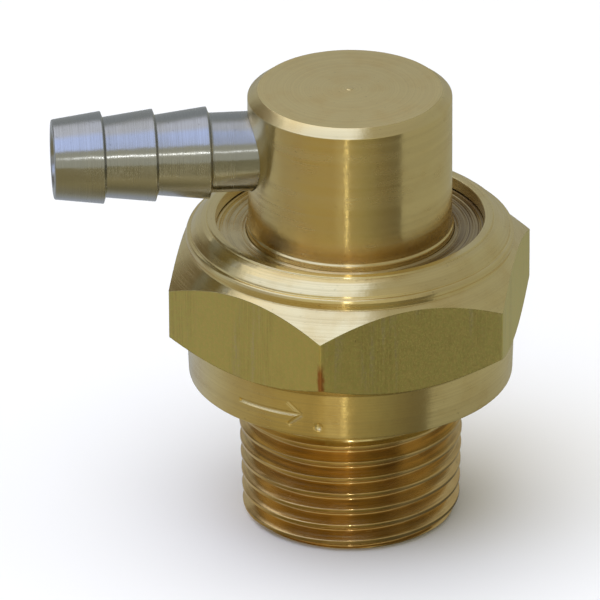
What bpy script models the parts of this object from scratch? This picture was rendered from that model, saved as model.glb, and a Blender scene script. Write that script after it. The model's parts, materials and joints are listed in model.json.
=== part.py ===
"""Automatic air vent with a swivelling hose outlet, on a 3/8 inch taper pipe thread.

The hexagonal brass body screws into a pipe or a boiler. A float in its spigot rides on the water and, through a
small lever, holds a valve shut. Where air collects, the float sinks and opens the valve, and the air leaves
through the swivel cap and its hose tail.

Metres, +Z up. The origin is on the thread's axis, in the plane of the collar's underside. The hose tail points
along -X. The model stands at rest with the float down and the valve open.
"""

import math

import bmesh
import bpy

MM = 0.001
ASSEMBLY = "automatic_air_vent"

# Driving dimensions, in millimetres. Heights are measured from the collar's underside.

TURN_SEGMENTS = 40
SMALL_SEGMENTS = 20
GAP = 0.05

# Pipe thread: major radius at the gauge plane, taper of 1 in 16 on the diameter.
THREAD_PITCH = 1.337
THREAD_DEPTH = 0.856
THREAD_GAUGE_RADIUS = 8.331
THREAD_GAUGE_Z = -5.17
THREAD_TAPER = 1 / 32
THREAD_TOP_Z = -2.3
THREAD_FRONT_CREST_Z = -5.31
THREAD_ROOT_FLAT = 0.16
SPIGOT_END_Z = -11.57
SPIGOT_END_RADIUS = 7.49
SPIGOT_END_CHAMFER = 0.66
NECK_RADIUS = 8.05
NECK_END_Z = -1.7
NECK_RELIEF_RADIUS = 8.6
NECK_RELIEF_DEPTH = 0.12

# Hexagon, with the turned cones that cut its corners.
HEX_ACROSS_FLATS = 25.0
HEX_CORNER_DEG = 15.6
HEX_LOW_SLOPE = 0.663
HEX_TOP_SLOPE = 0.793
COLLAR_RADIUS = 12.1
COLLAR_TOP_RADIUS = 12.22
COLLAR_TOP_Z = 3.58
COLLAR_EDGE = 0.15
SHOULDER_Z = 10.54

# Rim, rolled inwards over the retaining ring.
RIM_WALL_Z = 10.92
RIM_BEAD_RADIUS = 0.26
RIM_FOOT_RADIUS = 11.95
RIM_FOOT_Z = 11.5
RIM_CREST_RADIUS = 10.4
RIM_CREST_Z = 12.55
RIM_DOME_RADIUS = 11.3
RIM_DOME_Z = 12.12
LIP_RADIUS = 10.0
LIP_UNDER_Z = 11.62
LIP_ROUND = 0.2

# Bores of the body, from the top down.
RECESS_RADIUS = 10.9
RECESS_FLOOR_Z = 8.9
CARRIER_BORE_RADIUS = 9.8
CARRIER_LEDGE_Z = 5.25
CHAMBER_RADIUS = 8.9
CHAMBER_FLOOR_Z = 1.2
CHAMBER_FLOOR_CHAMFER = 0.4
CIRCLIP_GROOVE_DEPTH = 0.5
CIRCLIP_GROOVE_WIDTH = 0.75
SPIGOT_BORE_RADIUS = 5.8
SCREEN_BORE_RADIUS = 6.3
SCREEN_LEDGE_Z = -10.6
SNAP_GROOVE_DEPTH = 0.25
SNAP_GROOVE_TOP = 0.33
SNAP_GROOVE_WIDTH = 0.37

# Swivel cap.
CAP_RADIUS = 7.58
CAP_TOP_Z = 22.88
CAP_CHAMFER = 0.75
CAP_CHAMFER_HEIGHT = 0.58
CAP_PIP_RADIUS = 0.3
CAP_PIP_HEIGHT = 0.06
CAP_FOOT_RADIUS = 7.76
CAP_FOOT_Z = 11.98
CAP_FOOT_SLOPE = 0.18
CAP_FLANGE_RADIUS = 10.8
CAP_FLANGE_TOP_Z = 10.22
CAP_FLANGE_BOTTOM_Z = 9.37
CAP_SKIRT_RADIUS = 6.2
CAP_SKIRT_Z = 6.95
CAP_BORE_RADIUS = 4.9
CAP_BORE_TOP_Z = 21.0
CAP_GROOVE_LOW_Z = 7.4
CAP_GROOVE_HIGH_Z = 8.7
CAP_GROOVE_RADIUS = 5.35

# Hose tail, along -X: distances are measured from the cap's axis.
TAIL_AXIS_Z = 18.17
TAIL_STUB_RADIUS = 2.96
TAIL_ROOT_RADIUS = 2.98
TAIL_BARB_RADIUS = 3.43
TAIL_BORE_RADIUS = 2.0
TAIL_INNER_END = 5.1
TAIL_OUTER_END = 22.08
TAIL_BARBS = (18.48, 14.63, 10.63)
TAIL_BARB_LAND = 0.08
TAIL_BARB_BACK = 0.16
TAIL_TIP_EDGE = 0.1
TAIL_MOUTH_CHAMFER = 0.2

# Retaining ring and glide washers.
RING_BORE_RADIUS = 7.86
RING_TOP_Z = 11.56
RING_BOTTOM_Z = 10.7
RING_BORE_CHAMFER = 0.14
RING_CLEARANCE = 0.1
WASHER_THICKNESS = 0.38

# Valve train, across the body's axis.
CARRIER_RADIUS = 9.75
CARRIER_TOP_Z = 7.95
CARRIER_BOTTOM_Z = 5.3
CUP_RADIUS = 6.25
CUP_FLOOR_Z = 6.75
CUP_WALL_RADIUS = 7.7
CUP_TOP_Z = 9.15
CARRIER_GROOVE_LOW_Z = 6.0
CARRIER_GROOVE_HIGH_Z = 7.3
CARRIER_GROOVE_RADIUS = 8.65
LUG_INNER_Y = 1.55
LUG_OUTER_Y = 2.5
LUG_HALF_LENGTH = 1.0
LUG_DROP = 0.9
CIRCLIP_INNER_RADIUS = 8.75
CIRCLIP_OUTER_RADIUS = 10.15
CIRCLIP_THICKNESS = 0.6
CIRCLIP_EAR_DEG = 78
SEAT_X = 2.6
SEAT_NOSE_Z = 4.88
SEAT_TOP_Z = 7.7
SEAT_SHANK_RADIUS = 1.2
SEAT_ORIFICE_RADIUS = 0.62
SEAT_FLANGE_RADIUS = 2.0
SEAT_GASKET_GAP = 0.24
STEM_RADIUS = 0.4
STEM_TOP_Z = 10.5
STEM_FLANGE_RADIUS = 1.15
STEM_FLANGE_Z = (3.52, 3.80)
STEM_BUTTON_RADIUS = 0.9
STEM_BUTTON_Z = (2.10, 2.22, 2.50)
SEAL_THICKNESS = 0.5
SPRING_TOP_Z = 9.6
SPRING_COIL_RADIUS = 0.82
SPRING_WIRE_RADIUS = 0.12
SPRING_TURNS = 5
SPRING_END_CLOSING = 0.45
PIVOT_X = 5.2
PIVOT_Z = 3.5
PIN_HEAD_RADIUS = 0.7
LINK_X = -4.2
LINK_NECK_Z = (1.2, 2.14)
LINK_HEAD_RADIUS = 0.8
LINK_HEAD_Z = 2.45
LEVER_THICKNESS = 0.5
LEVER_HALF_WIDTH = 1.15
LEVER_KNUCKLE_RADIUS = 0.82
LEVER_TIP = 0.9
FLOAT_STROKE = 1.8
FLOAT_RADIUS = 5.35
FLOAT_TOP_Z = 0.4
FLOAT_BOTTOM_Z = -10.15
FLOAT_EDGE = 0.3
FLOAT_CHAMFER = 0.6
FLUTES = 6
FLUTE_RADIUS = 0.8
FLUTE_FIRST_DEG = 34
SCREEN_RADIUS = 6.2
SCREEN_THICKNESS = 0.25
SCREEN_HOLE_RADIUS = 0.6
SCREEN_HOLE_CIRCLES = ((0, 1), (2.1, 6), (4.2, 12))

# The lever lies level when the float is up, and droops by this angle at rest.
LEVER_REST_ANGLE = math.atan2(FLOAT_STROKE, PIVOT_X - LINK_X)

BRASS = ("brass", (0.62, 0.50, 0.22, 1), 1.0, 0.3)
BRASS_DULL = ("brass_inner", (0.55, 0.43, 0.18, 1), 1.0, 0.4)
STAINLESS = ("stainless", (0.56, 0.57, 0.58, 1), 1.0, 0.35)
SPRING_STEEL = ("spring_steel", (0.42, 0.42, 0.43, 1), 1.0, 0.3)
RUBBER = ("rubber", (0.02, 0.02, 0.02, 1), 0.0, 0.7)
GLIDE = ("glide_plastic", (0.86, 0.86, 0.83, 1), 0.0, 0.5)
FLOAT_PLASTIC = ("float_plastic", (0.80, 0.78, 0.70, 1), 0.0, 0.5)


def clear_scene():
    for obj in list(bpy.data.objects):
        bpy.data.objects.remove(obj, do_unlink=True)


def collection_named(name):
    made = bpy.data.collections.new(name)
    bpy.context.scene.collection.children.link(made)
    return made


def material_of(recipe):
    name, colour, metallic, roughness = recipe
    found = bpy.data.materials.get(name)
    if found:
        return found
    made = bpy.data.materials.new(name)
    made.use_nodes = True
    shader = made.node_tree.nodes["Principled BSDF"]
    shader.inputs["Base Color"].default_value = colour
    shader.inputs["Metallic"].default_value = metallic
    shader.inputs["Roughness"].default_value = roughness
    return made


def metres(*values):
    return tuple(value * MM for value in values)


def arc(centre_r, centre_z, radius, start_deg, end_deg, steps):
    """Points of a round corner in the profile's plane, angles counted from +r towards +z."""
    points = []
    for step in range(steps + 1):
        angle = math.radians(start_deg + (end_deg - start_deg) * step / steps)
        points.append((centre_r + radius * math.cos(angle), centre_z + radius * math.sin(angle)))
    return points


def thread_radius(z):
    return THREAD_GAUGE_RADIUS + (z - THREAD_GAUGE_Z) * THREAD_TAPER


class Workshop:
    """Makes named solids in the assembly's collection, and cutters in a hidden one."""

    def __init__(self):
        self.parts = collection_named(ASSEMBLY)
        self.cutters = collection_named("cutters")
        self.cutters.hide_render = True

    def place(self, obj, recipe):
        for old in list(obj.users_collection):
            old.objects.unlink(obj)
        if recipe is None:
            self.cutters.objects.link(obj)
            obj.hide_render = True
            obj.display_type = "WIRE"
            return obj
        self.parts.objects.link(obj)
        obj.data.materials.clear()
        obj.data.materials.append(material_of(recipe))
        obj.data.shade_smooth()
        if obj.type == "MESH":
            obj.data.set_sharp_from_angle(angle=math.radians(35))
        return obj

    def turned(self, name, profile, recipe=None, segments=TURN_SEGMENTS, closed=True):
        """A profile of (radius, height) turned about its own Z axis. It runs down its outer side."""
        mesh = bpy.data.meshes.new(name)
        points = [metres(r, 0, z) for r, z in profile]
        edges = [(i, i + 1) for i in range(len(points) - 1)]
        if closed:
            edges.append((len(points) - 1, 0))
        mesh.from_pydata(points, edges, [])
        obj = bpy.data.objects.new(name, mesh)
        self.parts.objects.link(obj)
        screw = obj.modifiers.new("turn", "SCREW")
        screw.axis = "Z"
        screw.steps = segments
        screw.render_steps = segments
        screw.use_merge_vertices = True
        screw.merge_threshold = 0.000005
        screw.use_smooth_shade = True
        return self.place(obj, recipe)

    def box(self, name, low, high, recipe=None):
        bpy.ops.mesh.primitive_cube_add(size=1)
        obj = bpy.context.object
        obj.name = name
        for vertex in obj.data.vertices:
            for axis in range(3):
                share = vertex.co[axis] + 0.5
                vertex.co[axis] = (low[axis] + (high[axis] - low[axis]) * share) * MM
        return self.place(obj, recipe)

    def rod(self, name, radius, start, length, axis="Z", recipe=None, segments=SMALL_SEGMENTS):
        """A cylinder that starts at a point and runs along a positive axis."""
        turns = {"X": (0, math.pi / 2, 0), "Y": (-math.pi / 2, 0, 0), "Z": (0, 0, 0)}
        bpy.ops.mesh.primitive_cylinder_add(vertices=segments, radius=radius * MM, depth=length * MM)
        obj = bpy.context.object
        obj.name = name
        for vertex in obj.data.vertices:
            vertex.co.z += length * MM / 2
        obj.location = metres(*start)
        obj.rotation_euler = turns[axis]
        return self.place(obj, recipe)

    def ring(self, name, inner, outer, low, high, recipe, segments=TURN_SEGMENTS):
        profile = [(inner, high), (outer, high), (outer, low), (inner, low)]
        return self.turned(name, profile, recipe, segments)

    def torus(self, name, radius, section, z, recipe):
        bpy.ops.mesh.primitive_torus_add(
            major_radius=radius * MM,
            minor_radius=section * MM,
            major_segments=TURN_SEGMENTS,
            minor_segments=8,
            location=metres(0, 0, z),
        )
        obj = bpy.context.object
        obj.name = name
        return self.place(obj, recipe)

    def boolean(self, obj, operation, other):
        modifier = obj.modifiers.new(operation.lower(), "BOOLEAN")
        modifier.operation = operation
        modifier.solver = "EXACT"
        modifier.object = other


def thread_cutter(shop):
    """The thread's groove as a closed helical wedge, which climbs out of the metal at both ends."""
    steps_per_turn = TURN_SEGMENTS
    front = math.radians(-90)
    first_groove = THREAD_FRONT_CREST_Z + THREAD_PITCH / 2
    low_turn = math.floor((SPIGOT_END_Z - first_groove) / THREAD_PITCH)
    high_turn = (THREAD_TOP_Z - first_groove) / THREAD_PITCH
    steps = int((high_turn - low_turn) * steps_per_turn)
    mouth = THREAD_PITCH / 2 + 0.06
    proud = 0.12
    run_out_steps = steps_per_turn * 0.6
    mesh = bpy.data.meshes.new("thread_groove")
    builder = bmesh.new()
    rings = []
    for step in range(steps + 1):
        turn = low_turn + step / steps_per_turn
        angle = front + math.tau * turn
        z = first_groove + THREAD_PITCH * turn
        lift = THREAD_DEPTH * 1.3 * max(0.0, 1 - (steps - step) / run_out_steps)
        crest = thread_radius(z) + lift
        section = (
            (crest + proud, z + mouth),
            (crest + proud, z - mouth),
            (crest - THREAD_DEPTH, z - THREAD_ROOT_FLAT / 2),
            (crest - THREAD_DEPTH, z + THREAD_ROOT_FLAT / 2),
        )
        rings.append(
            [
                builder.verts.new(metres(r * math.cos(angle), r * math.sin(angle), height))
                for r, height in section
            ]
        )
    for near, far in zip(rings, rings[1:]):
        for side in range(4):
            after = (side + 1) % 4
            builder.faces.new((near[side], near[after], far[after], far[side]))
    builder.faces.new(rings[0])
    builder.faces.new(rings[-1][::-1])
    bmesh.ops.recalc_face_normals(builder, faces=builder.faces)
    builder.to_mesh(mesh)
    builder.free()
    obj = bpy.data.objects.new("thread_groove", mesh)
    shop.parts.objects.link(obj)
    return shop.place(obj, None)


def body_outline():
    """The body's closed profile: down its outside, then up through its bores."""
    hex_reach = HEX_ACROSS_FLATS / math.sqrt(3) + 0.5
    run = hex_reach - COLLAR_TOP_RADIUS
    bead_r = COLLAR_TOP_RADIUS - RIM_BEAD_RADIUS
    bead_z = RIM_FOOT_Z - RIM_BEAD_RADIUS * 0.6
    chamfer_z = SPIGOT_END_Z + SPIGOT_END_CHAMFER
    crest_z = THREAD_TOP_Z + 0.25
    outside = [
        (RIM_CREST_RADIUS, RIM_CREST_Z),
        (RIM_DOME_RADIUS, RIM_DOME_Z),
        (RIM_FOOT_RADIUS, RIM_FOOT_Z + 0.1),
        *arc(bead_r, bead_z, RIM_BEAD_RADIUS, 60, 0, 3),
        (COLLAR_TOP_RADIUS, RIM_WALL_Z),
        (COLLAR_TOP_RADIUS - 0.04, SHOULDER_Z + 0.03),
        (hex_reach, SHOULDER_Z - run * HEX_TOP_SLOPE),
        (hex_reach, COLLAR_TOP_Z + run * HEX_LOW_SLOPE),
        (COLLAR_TOP_RADIUS, COLLAR_TOP_Z),
        (COLLAR_RADIUS, COLLAR_EDGE),
        (COLLAR_RADIUS - COLLAR_EDGE, 0),
        (NECK_RELIEF_RADIUS, 0),
        (NECK_RADIUS, NECK_RELIEF_DEPTH),
        (NECK_RADIUS, NECK_END_Z),
        (thread_radius(THREAD_TOP_Z), crest_z),
        (thread_radius(chamfer_z), chamfer_z),
        (SPIGOT_END_RADIUS, SPIGOT_END_Z),
    ]
    snap_top = SCREEN_LEDGE_Z - SNAP_GROOVE_TOP
    snap_bottom = snap_top - SNAP_GROOVE_WIDTH
    circlip_bottom = CARRIER_TOP_Z - 0.02
    circlip_top = circlip_bottom + CIRCLIP_GROOVE_WIDTH
    inside = [
        (SCREEN_BORE_RADIUS, SPIGOT_END_Z),
        (SCREEN_BORE_RADIUS, snap_bottom),
        (SCREEN_BORE_RADIUS + SNAP_GROOVE_DEPTH, snap_bottom),
        (SCREEN_BORE_RADIUS + SNAP_GROOVE_DEPTH, snap_top),
        (SCREEN_BORE_RADIUS, snap_top),
        (SCREEN_BORE_RADIUS, SCREEN_LEDGE_Z),
        (SPIGOT_BORE_RADIUS, SCREEN_LEDGE_Z),
        (SPIGOT_BORE_RADIUS, CHAMBER_FLOOR_Z - CHAMBER_FLOOR_CHAMFER),
        (SPIGOT_BORE_RADIUS + CHAMBER_FLOOR_CHAMFER, CHAMBER_FLOOR_Z),
        (CHAMBER_RADIUS, CHAMBER_FLOOR_Z),
        (CHAMBER_RADIUS, CARRIER_LEDGE_Z),
        (CARRIER_BORE_RADIUS, CARRIER_LEDGE_Z),
        (CARRIER_BORE_RADIUS, circlip_bottom),
        (CARRIER_BORE_RADIUS + CIRCLIP_GROOVE_DEPTH, circlip_bottom),
        (CARRIER_BORE_RADIUS + CIRCLIP_GROOVE_DEPTH, circlip_top),
        (CARRIER_BORE_RADIUS, circlip_top),
        (CARRIER_BORE_RADIUS, RECESS_FLOOR_Z),
        (RECESS_RADIUS, RECESS_FLOOR_Z),
        (RECESS_RADIUS, LIP_UNDER_Z),
        (LIP_RADIUS, LIP_UNDER_Z),
        *arc(LIP_RADIUS + LIP_ROUND, RIM_CREST_Z - LIP_ROUND, LIP_ROUND, 180, 90, 2),
    ]
    return outside + inside


def hex_body(shop):
    body = shop.turned("hex_body", body_outline(), BRASS)
    bpy.ops.mesh.primitive_cylinder_add(
        vertices=6, radius=HEX_ACROSS_FLATS / math.sqrt(3) * MM, depth=60 * MM
    )
    bar = bpy.context.object
    bar.name = "hexagon_bar"
    bar.rotation_euler = (0, 0, math.radians(HEX_CORNER_DEG - 30))
    shop.place(bar, None)
    shop.boolean(body, "INTERSECT", bar)
    shop.boolean(body, "DIFFERENCE", thread_cutter(shop))
    return body


def swivel_cap(shop):
    profile = [
        (0, CAP_TOP_Z + CAP_PIP_HEIGHT),
        (CAP_PIP_RADIUS, CAP_TOP_Z),
        (CAP_RADIUS - CAP_CHAMFER, CAP_TOP_Z),
        (CAP_RADIUS, CAP_TOP_Z - CAP_CHAMFER_HEIGHT),
        (CAP_RADIUS, CAP_FOOT_Z),
        (CAP_FOOT_RADIUS, CAP_FOOT_Z - CAP_FOOT_SLOPE),
        (CAP_FOOT_RADIUS, CAP_FLANGE_TOP_Z),
        (CAP_FLANGE_RADIUS, CAP_FLANGE_TOP_Z),
        (CAP_FLANGE_RADIUS, CAP_FLANGE_BOTTOM_Z),
        (CAP_SKIRT_RADIUS, CAP_FLANGE_BOTTOM_Z),
        (CAP_SKIRT_RADIUS, CAP_GROOVE_HIGH_Z),
        (CAP_GROOVE_RADIUS, CAP_GROOVE_HIGH_Z),
        (CAP_GROOVE_RADIUS, CAP_GROOVE_LOW_Z),
        (CAP_SKIRT_RADIUS, CAP_GROOVE_LOW_Z),
        (CAP_SKIRT_RADIUS, CAP_SKIRT_Z),
        (CAP_BORE_RADIUS, CAP_SKIRT_Z),
        (CAP_BORE_RADIUS, CAP_BORE_TOP_Z),
        (0, CAP_BORE_TOP_Z),
    ]
    cap = shop.turned("swivel_cap", profile, BRASS, closed=False)
    port_start = (-CAP_RADIUS - 4.0, 0, TAIL_AXIS_Z)
    port_length = CAP_RADIUS + 1.0
    port = shop.rod("tail_port", TAIL_STUB_RADIUS + 0.04, port_start, port_length, "X", segments=32)
    shop.boolean(cap, "DIFFERENCE", port)
    groove_z = (CAP_GROOVE_LOW_Z + CAP_GROOVE_HIGH_Z) / 2
    shop.torus("swivel_o_ring", (CAP_GROOVE_RADIUS + CAP_SKIRT_RADIUS) / 2, 0.4, groove_z, RUBBER)


def hose_tail(shop):
    """Three barbs that face the cap, turned about the tail's own axis and then laid along -X."""
    profile = [
        (TAIL_STUB_RADIUS - TAIL_TIP_EDGE, TAIL_OUTER_END),
        (TAIL_STUB_RADIUS, TAIL_OUTER_END - TAIL_TIP_EDGE),
    ]
    for barb in TAIL_BARBS:
        profile.append((TAIL_BARB_RADIUS, barb + TAIL_BARB_LAND))
        profile.append((TAIL_BARB_RADIUS, barb))
        profile.append((TAIL_ROOT_RADIUS, barb - TAIL_BARB_BACK))
    profile += [
        (TAIL_STUB_RADIUS, TAIL_BARBS[-1] - TAIL_BARB_BACK - 0.1),
        (TAIL_STUB_RADIUS, TAIL_INNER_END),
        (TAIL_BORE_RADIUS, TAIL_INNER_END),
        (TAIL_BORE_RADIUS, TAIL_OUTER_END - TAIL_MOUTH_CHAMFER),
        (TAIL_BORE_RADIUS + TAIL_MOUTH_CHAMFER, TAIL_OUTER_END),
    ]
    tail = shop.turned("hose_barb", profile, STAINLESS, segments=32)
    tail.location = metres(0, 0, TAIL_AXIS_Z)
    tail.rotation_euler = (0, -math.pi / 2, 0)


def retaining_stack(shop):
    """The ring under the rolled rim, and the two plastic washers that the cap's flange turns between."""
    outer = RECESS_RADIUS - RING_CLEARANCE
    profile = [
        (RING_BORE_RADIUS + RING_BORE_CHAMFER, RING_TOP_Z),
        (outer, RING_TOP_Z),
        (outer, RING_BOTTOM_Z),
        (RING_BORE_RADIUS, RING_BOTTOM_Z),
        (RING_BORE_RADIUS, RING_TOP_Z - RING_BORE_CHAMFER),
    ]
    shop.turned("retaining_ring", profile, BRASS)
    upper = CAP_FLANGE_TOP_Z + GAP
    lower = RECESS_FLOOR_Z + 0.04
    for name, inner, low in (
        ("upper_glide_washer", RING_BORE_RADIUS + 0.04, upper),
        ("lower_glide_washer", CARRIER_BORE_RADIUS + 0.1, lower),
    ):
        shop.ring(name, inner, outer, low, low + WASHER_THICKNESS, GLIDE)


def seat_carrier(shop):
    """The brass plate across the body, with the cup for the cap's skirt above and the lever's lugs below."""
    profile = [
        (0, CUP_FLOOR_Z),
        (CUP_RADIUS, CUP_FLOOR_Z),
        (CUP_RADIUS, CUP_TOP_Z),
        (CUP_WALL_RADIUS, CUP_TOP_Z),
        (CUP_WALL_RADIUS, CARRIER_TOP_Z),
        (CARRIER_RADIUS, CARRIER_TOP_Z),
        (CARRIER_RADIUS, CARRIER_GROOVE_HIGH_Z),
        (CARRIER_GROOVE_RADIUS, CARRIER_GROOVE_HIGH_Z),
        (CARRIER_GROOVE_RADIUS, CARRIER_GROOVE_LOW_Z),
        (CARRIER_RADIUS, CARRIER_GROOVE_LOW_Z),
        (CARRIER_RADIUS, CARRIER_BOTTOM_Z),
        (0, CARRIER_BOTTOM_Z),
    ]
    carrier = shop.turned("seat_carrier", profile, BRASS_DULL, closed=False)
    for side in (1, -1):
        near, far = sorted((side * LUG_INNER_Y, side * LUG_OUTER_Y))
        lug = shop.box(
            f"lug_{side}",
            (PIVOT_X - LUG_HALF_LENGTH, near, PIVOT_Z - LUG_DROP),
            (PIVOT_X + LUG_HALF_LENGTH, far, CARRIER_BOTTOM_Z + 0.4),
        )
        shop.boolean(carrier, "UNION", lug)
    pin_hole = shop.rod("pin_hole", STEM_RADIUS + 0.02, (PIVOT_X, -4, PIVOT_Z), 8, "Y")
    shop.boolean(carrier, "DIFFERENCE", pin_hole)
    seat_hole = shop.rod("seat_hole", SEAT_SHANK_RADIUS + GAP, (SEAT_X, 0, 4.5), 3)
    shop.boolean(carrier, "DIFFERENCE", seat_hole)
    groove_z = (CARRIER_GROOVE_LOW_Z + CARRIER_GROOVE_HIGH_Z) / 2
    shop.torus("carrier_o_ring", 9.24, 0.48, groove_z, RUBBER)


def carrier_circlip(shop):
    """An internal circlip in the body's groove, with two ears for the pliers."""
    low = CARRIER_TOP_Z + GAP
    high = low + CIRCLIP_THICKNESS
    ear_thickness = CIRCLIP_THICKNESS - 0.04
    clip = shop.ring(
        "carrier_circlip", CIRCLIP_INNER_RADIUS, CIRCLIP_OUTER_RADIUS, low, high, SPRING_STEEL
    )
    ear_angle = math.radians(CIRCLIP_EAR_DEG)
    for side in (1, -1):
        x = CIRCLIP_INNER_RADIUS * math.cos(ear_angle) * side
        y = CIRCLIP_INNER_RADIUS * math.sin(ear_angle)
        ear = shop.rod(f"ear_{side}", 0.85, (x, y, low + 0.02), ear_thickness)
        shop.boolean(clip, "UNION", ear)
        hole = shop.rod(f"ear_hole_{side}", 0.42, (x, y, low - 1), 3, segments=12)
        shop.boolean(clip, "DIFFERENCE", hole)
    gap = shop.box("circlip_gap", (-0.7, 6, low - 1), (0.7, 12, high + 1))
    shop.boolean(clip, "DIFFERENCE", gap)


def valve_seat(shop):
    """The screwed-in nozzle that the seal closes against, and the thin gasket under its hexagon."""
    flange_z = CUP_FLOOR_Z + SEAT_GASKET_GAP
    profile = [
        (SEAT_ORIFICE_RADIUS, SEAT_TOP_Z),
        (SEAT_FLANGE_RADIUS + 0.02, SEAT_TOP_Z),
        (SEAT_FLANGE_RADIUS + 0.02, flange_z),
        (SEAT_SHANK_RADIUS, flange_z),
        (SEAT_SHANK_RADIUS, SEAT_NOSE_Z + 0.3),
        (SEAT_ORIFICE_RADIUS + 0.22, SEAT_NOSE_Z),
        (SEAT_ORIFICE_RADIUS, SEAT_NOSE_Z),
    ]
    seat = shop.turned("valve_seat", profile, STAINLESS, segments=SMALL_SEGMENTS)
    seat.location = metres(SEAT_X, 0, 0)
    hexagon = shop.rod("seat_hexagon", SEAT_FLANGE_RADIUS, (SEAT_X, 0, 3), 6, segments=6)
    shop.boolean(seat, "INTERSECT", hexagon)
    low, high = CUP_FLOOR_Z + 0.03, flange_z - 0.03
    gasket = shop.ring("seat_gasket", 1.35, 1.95, low, high, GLIDE, SMALL_SEGMENTS)
    gasket.location = metres(SEAT_X, 0, 0)


def valve_stem(shop):
    """The stem through the nozzle: a button under the lever, a flange for the seal, and a plain top end."""
    flange_low, flange_high = STEM_FLANGE_Z
    button_end, button_edge, button_top = STEM_BUTTON_Z
    profile = [
        (0, STEM_TOP_Z),
        (STEM_RADIUS - 0.1, STEM_TOP_Z),
        (STEM_RADIUS, STEM_TOP_Z - 0.1),
        (STEM_RADIUS, flange_high),
        (STEM_FLANGE_RADIUS, flange_high),
        (STEM_FLANGE_RADIUS, flange_low),
        (STEM_RADIUS, flange_low),
        (STEM_RADIUS, button_top),
        (STEM_BUTTON_RADIUS, button_top),
        (STEM_BUTTON_RADIUS, button_edge),
        (STEM_BUTTON_RADIUS - 0.2, button_end),
        (0, button_end),
    ]
    stem = shop.turned("valve_stem", profile, BRASS_DULL, SMALL_SEGMENTS, closed=False)
    seal_low = flange_high + 0.04
    seal = shop.ring(
        "valve_seal",
        STEM_RADIUS + GAP,
        STEM_FLANGE_RADIUS - 0.1,
        seal_low,
        seal_low + SEAL_THICKNESS,
        RUBBER,
        SMALL_SEGMENTS,
    )
    collar = shop.ring(
        "spring_collar",
        STEM_RADIUS + 0.02,
        STEM_FLANGE_RADIUS,
        SPRING_TOP_Z + GAP,
        SPRING_TOP_Z + GAP + 0.5,
        STAINLESS,
        SMALL_SEGMENTS,
    )
    for obj in (stem, seal, collar):
        obj.location = metres(SEAT_X, 0, 0)


def valve_spring(shop):
    """A compression spring with closed end turns, as one poly spline with a round bevel."""
    points_per_turn = 10
    count = SPRING_TURNS * points_per_turn
    curve = bpy.data.curves.new("valve_spring", "CURVE")
    curve.dimensions = "3D"
    curve.bevel_depth = SPRING_WIRE_RADIUS * MM
    curve.bevel_resolution = 2
    curve.use_fill_caps = True
    spline = curve.splines.new("POLY")
    spline.points.add(count)
    start = SEAT_TOP_Z + 0.04 + SPRING_WIRE_RADIUS
    end = SPRING_TOP_Z - SPRING_WIRE_RADIUS
    for index in range(count + 1):
        angle = math.tau * index / points_per_turn
        share = index / count
        eased = share - math.sin(math.tau * share) / math.tau * SPRING_END_CLOSING
        x = SEAT_X + SPRING_COIL_RADIUS * math.cos(angle)
        y = SPRING_COIL_RADIUS * math.sin(angle)
        spline.points[index].co = (*metres(x, y, start + (end - start) * eased), 1)
    obj = bpy.data.objects.new("valve_spring", curve)
    shop.parts.objects.link(obj)
    curve.materials.append(material_of(SPRING_STEEL))


def lever(shop):
    """A flat strip with a rolled knuckle at the pin, a keyhole for the stem and a fork for the float's link.

    It is built level, about its pin, and then droops by the rest angle.
    """
    half = LEVER_THICKNESS / 2
    reach = PIVOT_X - LINK_X
    stem_arm = PIVOT_X - SEAT_X
    through = 2.0
    strip = shop.box(
        "lever",
        (-reach - LEVER_TIP, -LEVER_HALF_WIDTH, -half),
        (0, LEVER_HALF_WIDTH, half),
        STAINLESS,
    )
    knuckle = shop.rod("knuckle", LEVER_KNUCKLE_RADIUS, (0, -1.42, 0), 2.84, "Y")
    cutters = [
        shop.rod("knuckle_bore", STEM_RADIUS + 0.06, (0, -3, 0), 6, "Y"),
        shop.rod("stem_slot", STEM_RADIUS + 0.2, (-stem_arm, 0, -through), 2 * through),
        shop.box("key_way", (-stem_arm - 1.7, -0.5, -2.1), (-stem_arm, 0.5, 2.1)),
        shop.rod("key_hole", STEM_BUTTON_RADIUS + 0.05, (-stem_arm - 1.9, 0, -2.2), 4.4),
        shop.box("fork", (-reach - 3, -0.52, -through), (-reach + 0.65, 0.52, through)),
    ]
    shop.boolean(strip, "UNION", knuckle)
    for cutter in cutters:
        shop.boolean(strip, "DIFFERENCE", cutter)
    strip.location = metres(PIVOT_X, 0, PIVOT_Z)
    strip.rotation_euler = (0, -LEVER_REST_ANGLE, 0)
    for tool in (knuckle, *cutters):
        tool.parent = strip


def lever_pin(shop):
    """The headed pin that the lever swings on, through both lugs."""
    head_z = -LUG_OUTER_Y - 0.1
    profile = [
        (0, LUG_OUTER_Y + 0.4),
        (STEM_RADIUS, LUG_OUTER_Y + 0.4),
        (STEM_RADIUS, head_z),
        (PIN_HEAD_RADIUS, head_z),
        (PIN_HEAD_RADIUS, head_z - 0.35),
        (0, head_z - 0.35),
    ]
    pin = shop.turned("lever_pin", profile, STAINLESS, SMALL_SEGMENTS, closed=False)
    pin.location = metres(PIVOT_X, 0, PIVOT_Z)
    pin.rotation_euler = (math.pi / 2, 0, 0)


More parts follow.
